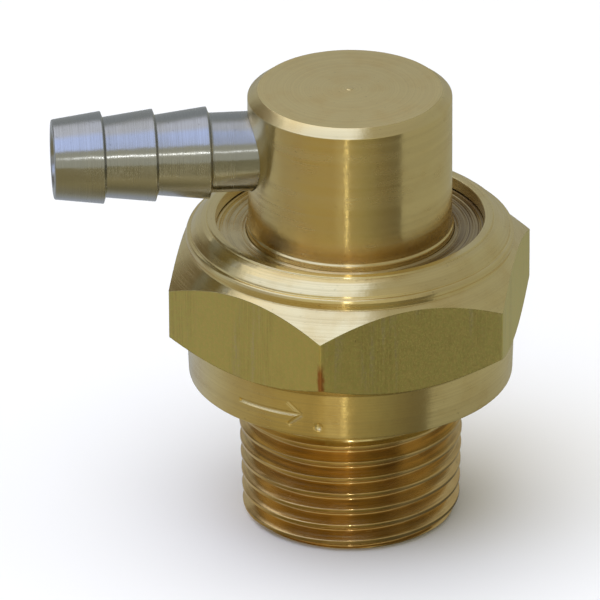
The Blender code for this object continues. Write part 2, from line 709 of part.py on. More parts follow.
def fluted_float(shop):
    profile = [
        (0, FLOAT_TOP_Z),
        (FLOAT_RADIUS - FLOAT_EDGE, FLOAT_TOP_Z),
        (FLOAT_RADIUS, FLOAT_TOP_Z - FLOAT_EDGE),
        (FLOAT_RADIUS, FLOAT_BOTTOM_Z + FLOAT_CHAMFER),
        (FLOAT_RADIUS - FLOAT_CHAMFER, FLOAT_BOTTOM_Z),
        (0, FLOAT_BOTTOM_Z),
    ]
    body = shop.turned("float", profile, FLOAT_PLASTIC, closed=False)
    flute_centre = FLOAT_RADIUS + 0.22
    flute_length = FLOAT_TOP_Z - FLOAT_BOTTOM_Z + 2.45
    for index in range(FLUTES):
        angle = math.radians(FLUTE_FIRST_DEG + 360 / FLUTES * index)
        start = (
            flute_centre * math.cos(angle),
            flute_centre * math.sin(angle),
            FLOAT_BOTTOM_Z - 1,
        )
        flute = shop.rod(f"flute_{index}", FLUTE_RADIUS, start, flute_length, segments=12)
        shop.boolean(body, "DIFFERENCE", flute)
    socket = shop.rod("link_socket", STEM_RADIUS + 0.1, (LINK_X, 0, FLOAT_TOP_Z - 2), 3)
    shop.boolean(body, "DIFFERENCE", socket)


def float_link(shop):
    """The headed pin on the float's top that the lever's fork holds."""
    neck_low, neck_high = LINK_NECK_Z
    foot_z = FLOAT_TOP_Z + GAP
    shank_radius = STEM_RADIUS + 0.06
    shank_end = FLOAT_TOP_Z - 1.9
    profile = [
        (0, LINK_HEAD_Z),
        (LINK_HEAD_RADIUS - 0.15, LINK_HEAD_Z),
        (LINK_HEAD_RADIUS, LINK_HEAD_Z - 0.15),
        (LINK_HEAD_RADIUS, neck_high),
        (STEM_RADIUS, neck_high),
        (STEM_RADIUS, neck_low),
        (LINK_HEAD_RADIUS, neck_low),
        (LINK_HEAD_RADIUS, foot_z),
        (shank_radius, foot_z),
        (shank_radius, shank_end),
        (0, shank_end),
    ]
    link = shop.turned("float_link", profile, STAINLESS, SMALL_SEGMENTS, closed=False)
    link.location = metres(LINK_X, 0, 0)


def inlet_screen(shop):
    """The punched disc at the spigot's mouth."""
    top = SCREEN_LEDGE_Z - GAP
    bottom = top - SCREEN_THICKNESS
    profile = [(0, top), (SCREEN_RADIUS, top), (SCREEN_RADIUS, bottom), (0, bottom)]
    screen = shop.turned("inlet_screen", profile, STAINLESS, closed=False)
    builder = bmesh.new()
    for circle, count in SCREEN_HOLE_CIRCLES:
        for index in range(count):
            angle = math.tau * (index + 0.5) / count
            made = bmesh.ops.create_cone(
                builder,
                cap_ends=True,
                segments=8,
                radius1=SCREEN_HOLE_RADIUS * MM,
                radius2=SCREEN_HOLE_RADIUS * MM,
                depth=3 * MM,
            )
            shift = metres(circle * math.cos(angle), circle * math.sin(angle), top)
            bmesh.ops.translate(builder, verts=made["verts"], vec=shift)
    mesh = bpy.data.meshes.new("screen_holes")
    builder.to_mesh(mesh)
    builder.free()
    holes = bpy.data.objects.new("screen_holes", mesh)
    shop.parts.objects.link(holes)
    shop.place(holes, None)
    shop.boolean(screen, "DIFFERENCE", holes)


def screen_snap_ring(shop):
    low = SCREEN_LEDGE_Z - 0.66
    inner, outer = SCREEN_BORE_RADIUS - 0.55, SCREEN_BORE_RADIUS + 0.15
    snap = shop.ring("screen_snap_ring", inner, outer, low, low + 0.28, SPRING_STEEL)
    gap = shop.box("snap_gap", (-0.9, 4, low - 1), (0.9, 8, low + 1))
    shop.boolean(snap, "DIFFERENCE", gap)


def main():
    clear_scene()
    shop = Workshop()
    hex_body(shop)
    swivel_cap(shop)
    hose_tail(shop)
    retaining_stack(shop)
    seat_carrier(shop)
    carrier_circlip(shop)
    valve_seat(shop)
    valve_stem(shop)
    valve_spring(shop)
    lever(shop)
    lever_pin(shop)
    fluted_float(shop)
    float_link(shop)
    inlet_screen(shop)
    screen_snap_ring(shop)


main()
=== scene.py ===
"""Looks of the automatic air vent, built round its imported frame.

Lengths below are in millimetres, measured as in the frame: z from the collar's underside, radii from the
thread's axis, and for the hose barb distances from the cap's axis along -X. Colours are linear.
"""

import json
import math

import bmesh
import bpy
from mathutils import Matrix, Vector

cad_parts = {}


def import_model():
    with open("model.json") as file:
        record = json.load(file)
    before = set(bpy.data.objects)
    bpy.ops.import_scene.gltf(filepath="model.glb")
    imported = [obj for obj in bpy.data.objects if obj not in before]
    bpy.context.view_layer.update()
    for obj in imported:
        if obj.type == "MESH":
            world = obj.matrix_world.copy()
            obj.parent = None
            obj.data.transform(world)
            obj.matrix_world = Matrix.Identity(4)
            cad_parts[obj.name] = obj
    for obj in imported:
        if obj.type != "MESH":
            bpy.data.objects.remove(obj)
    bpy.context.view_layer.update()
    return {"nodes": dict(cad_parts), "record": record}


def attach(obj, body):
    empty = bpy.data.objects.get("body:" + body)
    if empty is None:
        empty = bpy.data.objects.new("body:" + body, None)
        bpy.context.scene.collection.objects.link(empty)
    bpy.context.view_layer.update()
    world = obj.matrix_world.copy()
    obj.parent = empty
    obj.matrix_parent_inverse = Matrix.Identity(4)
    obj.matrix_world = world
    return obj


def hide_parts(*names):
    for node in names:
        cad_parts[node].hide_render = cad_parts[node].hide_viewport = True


MM = 0.001
TO_MM = (1000, 1000, 1000)

# Camera: the direction and distance it looks from, the height on the axis that it is aimed by, and how far it
# is then shifted to the left and down, which moves the vent to the right and up in the picture.
VIEW_ELEVATION = math.radians(26.3)
VIEW_AZIMUTH = math.radians(-95.2)
VIEW_DISTANCE = 750.0
VIEW_TARGET_Z = 8.78
VIEW_ROLL = math.radians(0.3)
VIEW_LEFT = 3.76
VIEW_DOWN = 2.94
LENS = 604.4
SENSOR_WIDTH = 36.0
CLIP_RANGE = (10.0, 10000.0)

# Mesh detail: steps round a turned piece, round the barb, round a cutting rod and in a fillet, and the angle
# from which an edge stays sharp.
FINE_SEGMENTS = 192
TAIL_SEGMENTS = 128
CUTTER_SEGMENTS = 96
FILLET_STEPS = 3
SHARP_ANGLE = math.radians(28)

# Hexagon: the bar, and the two cones that are turned on it. HEX_REACH is a radius outside its corners, and a
# slope is the cone's height for each mm of radius.
HEX_ACROSS_FLATS = 25.0
HEX_SHARP_CORNER = HEX_ACROSS_FLATS / math.sqrt(3)
HEX_CORNER_DEG = 15.6
HEX_CORNER_RADIUS = 0.18
HEX_CORNER_STEPS = 4
HEX_BAR_Z = (-3, 14)
HEX_REACH = 15.0
HEX_LOW_SLOPE = 0.663
HEX_TOP_SLOPE = 0.793
SHOULDER_Z = 10.54
COLLAR_TOP_RADIUS = 12.22
COLLAR_TOP_Z = 3.58
COLLAR_DRAFT = 0.12

# The generic mark stamped into the collar: an arrow and a dot, at angles round the collar in degrees.
PUNCH_RADIUS = 0.2
PUNCH_PROUD = 0.06
ARROW_DEGREES = (-138.0, -113.0)
ARROW_Z = 1.75
ARROW_HEAD_DEGREES = 5.0
ARROW_HEAD_HALF = 0.95
DOT_RADIUS = 0.4
DOT_DEGREES = -107.0
DOT_Z = 0.9

# Pipe thread. THREAD_TAPER is the change in radius for each mm of length: 1 in 16 on the diameter. The gauge
# radius holds at the gauge height, and a crest meets the front at THREAD_FRONT_CREST_Z.
PITCH = 1.337
THREAD_DEPTH = 0.82
THREAD_GAUGE_RADIUS = 8.331
THREAD_GAUGE_Z = -5.17
THREAD_TAPER = 1 / 32
THREAD_FRONT_CREST_Z = -5.31
THREAD_TOP_Z = -2.1
THREAD_RUNOUT = 0.35
THREAD_TURNS = 12
THREAD_TURNS_BELOW_CREST = 6
NECK_RADIUS = 8.05
NECK_FOOT_Z = -0.7
SPIGOT_END_Z = -11.57
SPIGOT_END_RADIUS = 7.49
SPIGOT_END_EASE = 0.06
SPIGOT_CHAMFER_SLOPE = 1.1
SPIGOT_JOINT_Z = 0.3
SPIGOT_BORE = 5.8
SCREEN_BORE = 6.3
SCREEN_LEDGE_Z = -10.6
THREAD_GRID_Z = (SPIGOT_END_Z + 0.12, -0.9)
# One pitch of the thread from crest to crest: share of the pitch, and depth as a share of the full depth.
HALF_THREAD = (
    (0, 0),
    (0.055, 0),
    (0.09, 0.012),
    (0.11, 0.045),
    (0.13, 0.10),
    (0.25, 0.42),
    (0.35, 0.70),
    (0.43, 0.93),
    (0.455, 0.98),
    (0.48, 1),
)
THREAD_FORM = (*HALF_THREAD, (0.5, 1), *((1 - share, depth) for share, depth in HALF_THREAD[:0:-1]))

# Swivel cap, hose barb and retaining ring. The port is the hole in the cap's wall that the barb sits in.
CAP_RADIUS = 7.58
CAP_TOP_Z = 22.88
TAIL_AXIS_Z = 18.17
TAIL_STUB = 2.96
TAIL_ROOT = 2.98
TAIL_CREST = 3.43
TAIL_BORE = 2.0
TAIL_BARBS = (18.48, 14.63, 10.63)
TAIL_END = 22.08
TAIL_START = 5.1
PORT_SPAN = (3.0, 10.0)
PORT_PLAY = 0.05
RING_TOP = 11.56
RING_FOOT = 10.7
# The turning marks on the ring: height, spacing and phase of each wave, between two radii, in steps.
RING_WAVES = ((0.013, 0.47, 0), (0.007, 0.21, 1))
RING_WAVE_SPAN = (8.2, 10.72)
RING_WAVE_STEP = 0.035

# Colours of the bare metals.
BRASS = (0.86, 0.70, 0.35)
BRASS_FLAT = (0.76, 0.65, 0.265)
# The thread's brass: its own colour, made more orange as painted light standing for the bounces between its
# flanks.
BRASS_THREAD_AND_BOUNCE = (0.80, 0.57, 0.25)
BRASS_RING = (0.76, 0.62, 0.34)
STEEL = (0.45, 0.46, 0.46)
# Colours of what has settled on them, and one painted shade. A dulled metal is multiplied by its dull colour
# and this gain.
DULL_GAIN = 1.35
GRIME = (0.07, 0.045, 0.025)
# Painted shade: a dark brown laid over the side of a turned piece that lies in shade.
SIDE_SHADE = (0.16, 0.095, 0.045)
BURR = (0.20, 0.11, 0.04)
PIT = (0.13, 0.09, 0.04)
STAIN = (0.46, 0.15, 0.045)


# ---------------------------------------------------------------- geometry


def turn_point(radius, angle, z):
    return Vector((radius * math.cos(angle), radius * math.sin(angle), z)) * MM


def filleted(points):
    """A closed profile (r, z) from corners (r, z, fillet), each rounded by about its fillet radius."""
    result = []
    count = len(points)
    for index, (r, z, fillet) in enumerate(points):
        if not fillet:
            result.append((r, z))
            continue
        here = Vector((r, z))
        before = Vector(points[index - 1][:2]) - here
        after = Vector(points[(index + 1) % count][:2]) - here
        half = before.angle(after) / 2
        reach = min(fillet / math.tan(half), before.length * 0.49, after.length * 0.49)
        start = here + before.normalized() * reach
        end = here + after.normalized() * reach
        for step in range(FILLET_STEPS + 1):
            t = step / FILLET_STEPS
            point = start * (1 - t) ** 2 + here * 2 * t * (1 - t) + end * t**2
            result.append((point.x, point.y))
    return result


def lathe(name, profile, segments=FINE_SEGMENTS):
    """A closed profile turned about Z into a closed mesh. Points on the axis share one vertex."""
    builder = bmesh.new()
    rings = []
    step = math.tau / segments
    for r, z in profile:
        if r == 0:
            rings.append([builder.verts.new(Vector((0, 0, z * MM)))] * segments)
            continue
        rings.append([builder.verts.new(turn_point(r, step * k, z)) for k in range(segments)])
    count = len(rings)
    on_axis = [len(set(ring)) == 1 for ring in rings]
    for row in range(count):
        upper, lower = rings[row], rings[(row + 1) % count]
        if on_axis[row] and on_axis[(row + 1) % count]:
            continue
        for k in range(segments):
            follow = (k + 1) % segments
            corners = (upper[k], lower[k], lower[follow], upper[follow])
            builder.faces.new(list(dict.fromkeys(corners)))
    bmesh.ops.recalc_face_normals(builder, faces=builder.faces[:])
    return mesh_object(name, builder)


def mesh_object(name, builder):
    mesh = bpy.data.meshes.new(name)
    builder.to_mesh(mesh)
    builder.free()
    return add_object(name, mesh)


def add_object(name, data):
    obj = bpy.data.objects.new(name, data)
    bpy.context.scene.collection.objects.link(obj)
    return obj


def evaluated_mesh(obj):
    """The mesh that an object's modifiers, or its curve, make."""
    bpy.context.view_layer.update()
    graph = bpy.context.evaluated_depsgraph_get()
    return bpy.data.meshes.new_from_object(obj.evaluated_get(graph))


def carve(obj, operation, tool):
    """Applies a Boolean with a tool and throws the tool away."""
    modifier = obj.modifiers.new("carve", "BOOLEAN")
    modifier.operation = operation
    modifier.solver = "EXACT"
    modifier.object = tool
    mesh = evaluated_mesh(obj)
    obj.modifiers.clear()
    obj.data = mesh
    bpy.data.objects.remove(tool)


def lay_along_tail(obj):
    """Turns a piece that was made along Z so that it lies along -X at the tail's height."""
    obj.data.transform(Matrix.Rotation(-math.pi / 2, 4, "Y"))
    obj.data.transform(Matrix.Translation((0, 0, TAIL_AXIS_Z * MM)))


def finish_piece(obj, body, nodes, materials):
    """Gives a piece its materials and smooth shading, and says what it is to the frame."""
    obj.data.materials.clear()
    for material in materials:
        obj.data.materials.append(material)
    obj.data.shade_smooth()
    obj.data.set_sharp_from_angle(angle=SHARP_ANGLE)
    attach(obj, body)
    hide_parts(*nodes)


# ---------------------------------------------------------------- node building


class Nodes:
    """Short names for building a node tree."""

    def __init__(self, tree):
        self.tree = tree
        self.tree.nodes.clear()

    def add(self, kind, inputs=None, **settings):
        node = self.tree.nodes.new("ShaderNode" + kind)
        for key, value in settings.items():
            setattr(node, key, value)
        for key, value in (inputs or {}).items():
            self.put(node.inputs[key], value)
        return node

    def put(self, socket, value):
        if isinstance(value, bpy.types.NodeSocket):
            self.tree.links.new(value, socket)
        elif isinstance(value, (tuple, list)) and len(value) == 3 and socket.type == "RGBA":
            socket.default_value = (*value, 1)
        else:
            socket.default_value = value

    def math(self, operation, first, second=0.0, third=0.0):
        return self.add("Math", {0: first, 1: second, 2: third}, operation=operation).outputs[0]

    def times(self, product, *factors):
        for factor in factors:
            product = self.math("MULTIPLY", product, factor)
        return product

    def vector(self, operation, first, second=(0, 0, 0)):
        node = self.add("VectorMath", {0: first, 1: second}, operation=operation)
        return node.outputs["Value" if operation in ("DOT_PRODUCT", "LENGTH") else "Vector"]

    def step(self, value, low, high, to_low=0.0, to_high=1.0):
        """Smooth step of a value between two limits."""
        node = self.add(
            "MapRange",
            {"Value": value, "From Min": low, "From Max": high, "To Min": to_low, "To Max": to_high},
            interpolation_type="SMOOTHSTEP",
        )
        return node.outputs["Result"]

    def mix(self, factor, first, second):
        """Two colours mixed. A Mix node's colour sockets are inputs 6 and 7 and output 2."""
        node = self.add("Mix", data_type="RGBA")
        self.put(node.inputs[0], factor)
        self.put(node.inputs[6], first)
        self.put(node.inputs[7], second)
        return node.outputs[2]

    def noise(self, vector, scale, detail=2.0, roughness=0.5):
        inputs = {"Vector": vector, "Scale": scale, "Detail": detail, "Roughness": roughness}
        return self.add("TexNoise", inputs).outputs["Fac"]

    def ramp(self, value, stops):
        node = self.add("ValToRGB", {"Fac": value})
        elements = node.color_ramp.elements
        while len(elements) > 1:
            elements.remove(elements[-1])
        elements[0].position = stops[0][0]
        elements[0].color = (*stops[0][1], 1)
        for position, colour in stops[1:]:
            elements.new(position).color = (*colour, 1)
        return node.outputs["Color"]

    def rounded(self, radius):
        """The surface's normal, with edges rounded over this radius in mm."""
        return self.add("Bevel", {"Radius": radius * MM}, samples=4).outputs[0]

    def bump(self, height, normal, strength, distance):
        inputs = {"Strength": strength, "Distance": distance * MM, "Height": height, "Normal": normal}
        return self.add("Bump", inputs).outputs[0]

    def place(self):
        """The place on the object, in mm."""
        return self.vector("MULTIPLY", self.add("TexCoord").outputs["Object"], TO_MM)


# ---------------------------------------------------------------- materials


def new_material(name):
    material = bpy.data.materials.new(name)
    material.use_nodes = True
    return material, Nodes(material.node_tree)


def turning_space(nodes, axis, centre):
    """Place relative to the turning axis, radius and distance along it, all in mm, and the tangent."""
    place = nodes.add("TexCoord").outputs["Object"]
    shifted = nodes.vector("SUBTRACT", place, centre)
    tangent = nodes.vector("CROSS_PRODUCT", axis, shifted)
    radius = nodes.times(nodes.vector("LENGTH", tangent), TO_MM[0])
    along = nodes.times(nodes.vector("DOT_PRODUCT", shifted, axis), TO_MM[0])
    world = nodes.add(
        "VectorTransform", {0: tangent}, vector_type="VECTOR", convert_from="OBJECT", convert_to="WORLD"
    )
    direction = nodes.vector("NORMALIZE", world.outputs[0])
    return nodes.vector("MULTIPLY", shifted, TO_MM), radius, along, direction


def toned(colour, factor, most=1.0):
    return tuple(min(part * factor, most) for part in colour)


def turned_metal(
    name,
    base,
    roughness,
    grain=0.5,
    axis=(0, 0, 1),
    centre=(0, 0, 0),
    anisotropy=0.9,
    dull=(0.55, 0.42, 0.20),
    dull_amount=0.25,
    mark_rate=9.0,
    grime=0.0,
    shaded_side=None,
):
    """Metal with turning marks round an axis, a light patina, grime in patches, edges rubbed bright and
    painted shade on one side.

    mark_rate is how fast the marks follow each other per mm, and the side that gets painted shade is a
    direction in degrees.
    """
    material, nodes = new_material(name)
    place, radius, along, direction = turning_space(nodes, axis, centre)
    drift = nodes.add("SeparateXYZ", {0: nodes.vector("MULTIPLY", place, (0.06, 0.06, 0.06))}).outputs
    rings = nodes.add(
        "CombineXYZ",
        {
            0: nodes.math("MULTIPLY_ADD", radius, mark_rate, drift["X"]),
            1: nodes.times(along, mark_rate),
            2: drift["Y"],
        },
    ).outputs[0]
    marks = nodes.noise(rings, 1.0, 1.0, 0.5)
    broad = nodes.noise(rings, 0.17, 2.0, 0.5)
    cloud = nodes.noise(place, 0.35, 3.0, 0.55)
    specks = nodes.noise(place, 4.2, 2.0, 0.5)
    patina = nodes.step(cloud, 0.42, 0.72, 0.0, dull_amount)
    speck_mask = nodes.step(specks, 0.68, 0.76, 0.0, 0.35)
    tone = nodes.mix(patina, base, tuple(b * d * DULL_GAIN for b, d in zip(base, dull)))
    tone = nodes.mix(nodes.step(marks, 0.25, 0.75, 0.0, 0.16), tone, toned(base, 0.55))
    tone = nodes.mix(nodes.step(broad, 0.3, 0.7, 0.0, 0.12), tone, toned(base, 1.18, 0.97))
    tone = nodes.mix(speck_mask, tone, toned(base, 0.35))
    if grime:
        tone = nodes.mix(grime_mask(nodes, place, rings, grime), tone, GRIME)
    # Painted shade: the side facing the given direction is darkened as if it lay in shade.
    if shaded_side is not None:
        tone = nodes.mix(painted_side_shade(nodes, place, marks, shaded_side), tone, SIDE_SHADE)
    worn = edge_mask(nodes)
    tone = nodes.mix(nodes.times(worn, 0.5), tone, toned(base, 1.25, 0.98))
    rough = nodes.math("ADD", nodes.step(marks, 0.2, 0.8, -0.05, 0.06), roughness)
    rough = nodes.math("ADD", rough, nodes.times(patina, 0.2))
    fine = nodes.bump(marks, nodes.rounded(0.06), grain, 0.006)
    uneven = nodes.noise(place, 1.1, 3.0, 0.5)
    shader = nodes.add(
        "BsdfPrincipled",
        {
            "Base Color": tone,
            "Metallic": 1.0,
            "Roughness": rough,
            "Anisotropic": anisotropy,
            "Anisotropic Rotation": 0.25,
            "Tangent": direction,
            "Normal": nodes.bump(uneven, fine, 0.6, 0.02),
        },
    )
    output(nodes, shader)
    return material


def grime_mask(nodes, place, rings, amount):
    """Dirt drawn out along the turning marks, in a few patches."""
    patches = nodes.noise(nodes.vector("ADD", place, (31, 7, 3)), 0.22, 2.0, 0.5)
    drawn = nodes.noise(nodes.vector("MULTIPLY", rings, (0.5, 0.5, 0.6)), 1.0, 3.0, 0.6)
    both = nodes.times(nodes.step(patches, 0.42, 0.66), nodes.step(drawn, 0.35, 0.62))
    return nodes.times(both, amount)


def painted_side_shade(nodes, place, marks, degrees):
    """Painted shade: strong on one side of the axis, gone 70 degrees either way, and broken up by the marks.
    """
    angle = math.radians(degrees)
    level = nodes.vector("NORMALIZE", nodes.vector("MULTIPLY", place, (1, 1, 0)))
    facing = nodes.vector("DOT_PRODUCT", level, (math.cos(angle), math.sin(angle), 0))
    broken = nodes.step(marks, 0.3, 0.7, 0.45, 0.9)
    return nodes.times(nodes.step(facing, 0.35, 0.9), broken)


def edge_mask(nodes, width=0.09):
    """1 at edges and 0 elsewhere, from how far a rounded edge's normal leaves the surface's own."""
    own = nodes.add("NewGeometry").outputs["Normal"]
    agreement = nodes.vector("DOT_PRODUCT", nodes.rounded(width), own)
    return nodes.step(agreement, 0.995, 0.9)


def output(nodes, shader):
    target = nodes.add("OutputMaterial")
    nodes.tree.links.new(shader.outputs[0], target.inputs["Surface"])


def drawn_metal(name, base, roughness):
    """Bar stock as drawn: fine lines along the bar, bands, ragged edges, pits and a stain at one corner."""
    material, nodes = new_material(name)
    place = nodes.place()
    lines = nodes.noise(nodes.vector("MULTIPLY", place, (9, 9, 0.25)), 1.0, 3.0, 0.6)
    streaks = nodes.noise(nodes.vector("MULTIPLY", place, (1.6, 1.6, 0.12)), 1.0, 3.0, 0.6)
    bands = nodes.noise(nodes.vector("MULTIPLY", place, (0.3, 0.3, 0.05)), 1.0, 1.0)
    banded = nodes.step(bands, 0.5, 0.6)
    blotch = nodes.noise(place, 0.5, 4.0, 0.6)
    mottle = nodes.noise(nodes.vector("ADD", place, (11, 5, 17)), 3.6, 2.0, 0.5)
    grit = nodes.noise(place, 7.0, 2.0, 0.6)
    in_bands = nodes.math("MULTIPLY_ADD", banded, 0.8, 0.2)
    drawn = nodes.times(nodes.step(lines, 0.3, 0.75, 0.0, 0.5), in_bands)
    tone = nodes.mix(drawn, base, toned(base, 0.6))
    grey = (base[0] * 0.95, base[1] * 1.02, base[1] * 0.75)
    tone = nodes.mix(nodes.times(nodes.step(streaks, 0.5, 0.7, 0.0, 0.5), banded), tone, grey)
    green = (base[0] * 0.89, base[1] * 0.99, base[2] * 0.92)
    tone = nodes.mix(nodes.step(mottle, 0.4, 0.6, 0.0, 0.55), tone, green)
    tone = nodes.mix(nodes.step(blotch, 0.5, 0.8, 0.0, 0.3), tone, toned(base, 0.75))
    tone = nodes.mix(nodes.step(grit, 0.45, 0.75, 0.0, 0.25), tone, toned(base, 1.3, 0.95))
    burr = nodes.step(nodes.noise(place, 0.9, 3.0), 0.40, 0.52)
    burr = nodes.times(edge_mask(nodes, 0.13), burr)
    tone = nodes.mix(nodes.times(burr, 0.75), tone, BURR)
    elsewhere = nodes.vector("ADD", place, (3, 41, 9))
    pits = nodes.noise(nodes.vector("MULTIPLY", elsewhere, (2.8, 2.8, 1.5)), 1.0, 1.0)
    tone = nodes.mix(nodes.step(pits, 0.77, 0.83, 0.0, 0.6), tone, PIT)
    tone = nodes.mix(corner_stain(nodes, place), tone, STAIN)
    height = nodes.math("ADD", lines, nodes.times(grit, 0.8))
    bump = nodes.bump(height, nodes.rounded(0.08), 0.4, 0.012)
    rough = nodes.math("ADD", nodes.step(grit, 0.3, 0.7, -0.05, 0.08), roughness)
    shader = nodes.add(
        "BsdfPrincipled",
        {"Base Color": tone, "Metallic": 1.0, "Roughness": rough, "Normal": bump},
    )
    output(nodes, shader)
    return material


def corner_stain(nodes, place):
    """A reddish stain down one corner of the hexagon."""
    angle = math.radians(HEX_CORNER_DEG + 240)
    corner = (HEX_SHARP_CORNER * math.cos(angle), HEX_SHARP_CORNER * math.sin(angle), 0)
    level = nodes.vector("MULTIPLY", nodes.vector("SUBTRACT", place, corner), (1, 1, 0))
    distance = nodes.vector("LENGTH", level)
    ragged = nodes.noise(nodes.vector("MULTIPLY", place, (3, 3, 1.2)), 1.0, 3.0)
    edge = nodes.math("ADD", distance, nodes.times(ragged, 0.5))
    height = nodes.add("SeparateXYZ", {0: place}).outputs["Z"]
    span = nodes.times(nodes.step(height, 3.4, 4.4), nodes.step(height, 7.4, 6.4))
    return nodes.times(nodes.step(edge, 0.62, 0.38, 0.0, 0.85), span)


def plastic(name, base, roughness, subsurface=0.0):
    """Moulded plastic or rubber with a fine grain and faint clouding."""
    material, nodes = new_material(name)
    place = nodes.place()
    cloud = nodes.noise(place, 0.6, 3.0)
    fine = nodes.noise(place, 12.0, 2.0)
    tone = nodes.mix(nodes.step(cloud, 0.35, 0.7, 0.0, 0.3), base, toned(base, 0.8))
    rough = nodes.math("ADD", nodes.step(fine, 0.3, 0.7, -0.04, 0.06), roughness)
    shader = nodes.add(
        "BsdfPrincipled",
        {
            "Base Color": tone,
            "Roughness": rough,
            "Normal": nodes.bump(fine, nodes.rounded(0.05), 0.2, 0.01),
            "Subsurface Weight": subsurface,
            "Subsurface Scale": 0.4 * MM,
        },
    )
    output(nodes, shader)
    return material


# ---------------------------------------------------------------- the body


def body_profile():
    """The body above the spigot as (r, z, fillet), from the lip outwards and down, then up through its bores.

    The lip and bead come first, then the groove under the bead, the cones and the collar, the relief at the
    seat, and inside the carrier's seat, the circlip's groove and the cap's space under the lip.
    """
    run = HEX_REACH - COLLAR_TOP_RADIUS
    return [
        (10.0, 12.55, 0.14),
        (10.60, 12.55, 0.03),
        (10.66, 12.42, 0.03),
        (10.74, 12.46, 0.05),
        (11.10, 12.30, 0.2),
        (11.50, 11.98, 0.3),
        (11.86, 11.56, 0.12),
        (11.90, 11.42, 0.03),
        (11.97, 11.42, 0.05),
        (12.14, 11.42, 0.14),
        (12.24, 11.16, 0.2),
        (12.24, 10.90, 0.08),
        (12.14, 10.86, 0.02),
        (12.14, 10.60, 0.03),
        (12.24, SHOULDER_Z, 0.04),
        (HEX_REACH, SHOULDER_Z - run * HEX_TOP_SLOPE, 0),
        (HEX_REACH, COLLAR_TOP_Z + run * HEX_LOW_SLOPE, 0),
        (COLLAR_TOP_RADIUS, COLLAR_TOP_Z, 0.1),
        (12.10, 0, 0.16),
        (8.6, 0, 0),
        (8.45, 0.12, 0),
        (8.03, 0.12, 0),
        (8.03, 0.6, 0),
        (SPIGOT_BORE, 0.6, 0),
        (SPIGOT_BORE, 0.8, 0),
        (6.2, 1.2, 0),
        (8.9, 1.2, 0),
        (8.9, 5.25, 0),
        (9.8, 5.25, 0),
        (9.8, 7.93, 0),
        (10.3, 7.93, 0),
        (10.3, 8.68, 0),
        (9.8, 8.68, 0),
        (9.8, 8.9, 0),
        (10.9, 8.9, 0),
        (10.9, 11.62, 0),
        (10.0, 11.62, 0.05),
    ]


def hexagon(name, low, high):
    """The bar's section with slightly rounded corners."""
    builder = bmesh.new()
    centre = HEX_SHARP_CORNER - HEX_CORNER_RADIUS / math.cos(math.radians(30))
    ring = []
    for side in range(6):
        angle = math.radians(HEX_CORNER_DEG + 60 * side)
        for part in range(HEX_CORNER_STEPS + 1):
            bend = angle + math.radians(-30 + 60 * part / HEX_CORNER_STEPS)
            x = centre * math.cos(angle) + HEX_CORNER_RADIUS * math.cos(bend)
            y = centre * math.sin(angle) + HEX_CORNER_RADIUS * math.sin(bend)
            ring.append((x, y))
    bottom = [builder.verts.new(Vector((x, y, low)) * MM) for x, y in ring]
    top = [builder.verts.new(Vector((x, y, high)) * MM) for x, y in ring]
    builder.faces.new(bottom[::-1])
    builder.faces.new(top)
    for index in range(len(ring)):
        follow = (index + 1) % len(ring)
        builder.faces.new([bottom[index], bottom[follow], top[follow], top[index]])
    return mesh_object(name, builder)


def arrow_strokes():
    """The arrow as three strokes of (angle in degrees, z) points: its shaft and the two sides of its head."""
    tail, tip = ARROW_DEGREES
    shaft = [(tail + (tip - tail) * k / 14, ARROW_Z) for k in range(15)]
    base = tip - ARROW_HEAD_DEGREES
    head = [(base + ARROW_HEAD_DEGREES * k / 4, ARROW_HEAD_HALF * (1 - k / 4)) for k in range(5)]
    sides = [[(angle, ARROW_Z + side * rise) for angle, rise in head] for side in (1, -1)]
    return [shaft, *sides]


def stamped_marks(body):
    """Presses the arrow and the dot into the collar with round punches."""
    for stroke in arrow_strokes():
        curve = bpy.data.curves.new("stroke", "CURVE")
        curve.dimensions = "3D"
        curve.bevel_depth = PUNCH_RADIUS * MM
        curve.bevel_resolution = 3
        curve.use_fill_caps = True
        spline = curve.splines.new("POLY")
        spline.points.add(len(stroke) - 1)
        for point, (angle, z) in zip(spline.points, stroke):
            wall = COLLAR_TOP_RADIUS - COLLAR_DRAFT * (1 - z / COLLAR_TOP_Z)
            point.co = (*turn_point(wall + PUNCH_PROUD, math.radians(angle), z), 1)
        path = add_object("stroke", curve)
        punch = add_object("punch", evaluated_mesh(path))
        bpy.data.objects.remove(path)
        carve(body, "DIFFERENCE", punch)
    builder = bmesh.new()
    bmesh.ops.create_icosphere(builder, subdivisions=3, radius=DOT_RADIUS * MM)
    centre = turn_point(COLLAR_TOP_RADIUS + PUNCH_PROUD, math.radians(DOT_DEGREES), DOT_Z)
    bmesh.ops.translate(builder, verts=builder.verts, vec=centre)
    carve(body, "DIFFERENCE", mesh_object("dot", builder))


def is_flat(face):
    """A face of the bar itself: upright, and as far out as the bar's sides."""
    outward = Vector((face.center.x, face.center.y, 0)).dot(face.normal) / MM
    return abs(face.normal.z) < 0.02 and outward > HEX_ACROSS_FLATS / 2 - 0.05


def build_body(materials):
    """The body above the spigot, with the arrow and the dot pressed into its collar."""
    body = lathe("vent_body_shell", filleted(body_profile()))
    carve(body, "INTERSECT", hexagon("hexagon_bar", *HEX_BAR_Z))
    stamped_marks(body)
    finish_piece(body, "vent_body", ["hex_body"], materials)
    for face in body.data.polygons:
        face.material_index = 1 if is_flat(face) else 0


def thread_radius(z):
    return THREAD_GAUGE_RADIUS + (z - THREAD_GAUGE_Z) * THREAD_TAPER


def spigot_radius(z, depth):
    """The thread's surface, running out into the neck above and into the end's chamfer below."""
    cut = thread_radius(z) - THREAD_DEPTH * depth
    runout = min(max((THREAD_TOP_Z - z) / THREAD_RUNOUT, 0.0), 1.0)
    blended = cut * runout + NECK_RADIUS * (1 - runout)
    chamfer = SPIGOT_END_RADIUS + SPIGOT_END_EASE + (z - SPIGOT_END_Z) * SPIGOT_CHAMFER_SLOPE
    return min(blended, chamfer)


